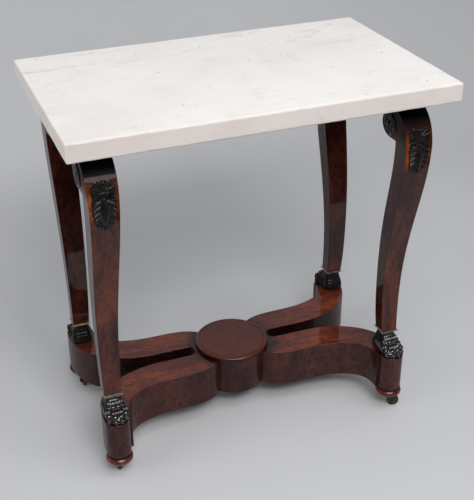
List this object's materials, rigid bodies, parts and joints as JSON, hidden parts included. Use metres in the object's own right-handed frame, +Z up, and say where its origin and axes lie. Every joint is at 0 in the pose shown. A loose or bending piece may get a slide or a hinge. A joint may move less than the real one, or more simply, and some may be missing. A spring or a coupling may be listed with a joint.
{
  "type": "centre table",
  "caption": "Marble-topped centre table on scroll legs with carved palmettes and paw feet, over a curved platform with a round disc and bun feet on swivel castors.",
  "frame": {"origin": "on the floor under the middle of the table", "axes": "+X along the long side to the right seen from the front, -Y to the front, +Z up"},
  "size_m": [0.73, 0.447, 0.7518],
  "materials": {
    "marble": "honed white marble with faint grey veins",
    "mahogany": "French-polished figured mahogany",
    "ebonised": "carved and ebonised, polished",
    "brass": "aged brass",
    "castor_metal": "darkened cast brass",
    "deal": "stained softwood, hidden"
  },
  "bodies": {
    "table": {"marble_top": "marble", "frame_rail_front": "deal", "frame_rail_back": "deal", "frame_rail_left": "deal", "frame_rail_right": "deal", "leg_front_left": "mahogany", "leg_dowel_front_left": "deal", "palmette_front_left": "ebonised", "volute_roundel_front_left_left": "ebonised", "volute_roundel_front_left_right": "ebonised", "ankle_collar_front_left": "brass", "paw_front_left": "ebonised", "platform_arm_front_left": "mahogany", "leg_front_right": "mahogany", "leg_dowel_front_right": "deal", "palmette_front_right": "ebonised", "volute_roundel_front_right_left": "ebonised", "volute_roundel_front_right_right": "ebonised", "ankle_collar_front_right": "brass", "paw_front_right": "ebonised", "platform_arm_front_right": "mahogany", "leg_back_left": "mahogany", "leg_dowel_back_left": "deal", "palmette_back_left": "ebonised", "volute_roundel_back_left_left": "ebonised", "volute_roundel_back_left_right": "ebonised", "ankle_collar_back_left": "brass", "paw_back_left": "ebonised", "platform_arm_back_left": "mahogany", "leg_back_right": "mahogany", "leg_dowel_back_right": "deal", "palmette_back_right": "ebonised", "volute_roundel_back_right_left": "ebonised", "volute_roundel_back_right_right": "ebonised", "ankle_collar_back_right": "brass", "paw_back_right": "ebonised", "platform_arm_back_right": "mahogany", "platform_drum": "mahogany", "platform_disc": "mahogany", "bun_foot_front_left": "mahogany", "bun_foot_front_right": "mahogany", "bun_foot_back_left": "mahogany", "bun_foot_back_right": "mahogany", "castor_plate_front_left": "castor_metal", "castor_plate_front_right": "castor_metal", "castor_plate_back_left": "castor_metal", "castor_plate_back_right": "castor_metal"},
    "castor_swivel_front_left": {"castor_fork_front_left": "castor_metal", "castor_axle_front_left": "castor_metal"},
    "castor_roller_front_left": {"castor_wheel_front_left": "castor_metal"},
    "castor_swivel_front_right": {"castor_fork_front_right": "castor_metal", "castor_axle_front_right": "castor_metal"},
    "castor_roller_front_right": {"castor_wheel_front_right": "castor_metal"},
    "castor_swivel_back_left": {"castor_fork_back_left": "castor_metal", "castor_axle_back_left": "castor_metal"},
    "castor_roller_back_left": {"castor_wheel_back_left": "castor_metal"},
    "castor_swivel_back_right": {"castor_fork_back_right": "castor_metal", "castor_axle_back_right": "castor_metal"},
    "castor_roller_back_right": {"castor_wheel_back_right": "castor_metal"}
  },
  "joints": [
    {"name": "swivel_front_left", "type": "hinge", "parent": "table", "child": "castor_swivel_front_left", "pos_m": [-0.302, -0.1615, 0.0299], "axis": [0, 0, 1], "continuous": true},
    {"name": "roll_front_left", "type": "hinge", "parent": "castor_swivel_front_left", "child": "castor_roller_front_left", "pos_m": [-0.302, -0.1495, 0.0128], "axis": [-1, 0, 0], "continuous": true},
    {"name": "swivel_front_right", "type": "hinge", "parent": "table", "child": "castor_swivel_front_right", "pos_m": [0.302, -0.1615, 0.0299], "axis": [0, 0, 1], "continuous": true},
    {"name": "roll_front_right", "type": "hinge", "parent": "castor_swivel_front_right", "child": "castor_roller_front_right", "pos_m": [0.31328, -0.1656, 0.0128], "axis": [0.342, 0.9397, 0], "continuous": true},
    {"name": "swivel_back_left", "type": "hinge", "parent": "table", "child": "castor_swivel_back_left", "pos_m": [-0.302, 0.1615, 0.0299], "axis": [0, 0, 1], "continuous": true},
    {"name": "roll_back_left", "type": "hinge", "parent": "castor_swivel_back_left", "child": "castor_roller_back_left", "pos_m": [-0.302, 0.1495, 0.0128], "axis": [1, 0, 0], "continuous": true},
    {"name": "swivel_back_right", "type": "hinge", "parent": "table", "child": "castor_swivel_back_right", "pos_m": [0.302, 0.1615, 0.0299], "axis": [0, 0, 1], "continuous": true},
    {"name": "roll_back_right", "type": "hinge", "parent": "castor_swivel_back_right", "child": "castor_roller_back_right", "pos_m": [0.30971, 0.17069, 0.0128], "axis": [-0.766, 0.6428, 0], "continuous": true}
  ]
}
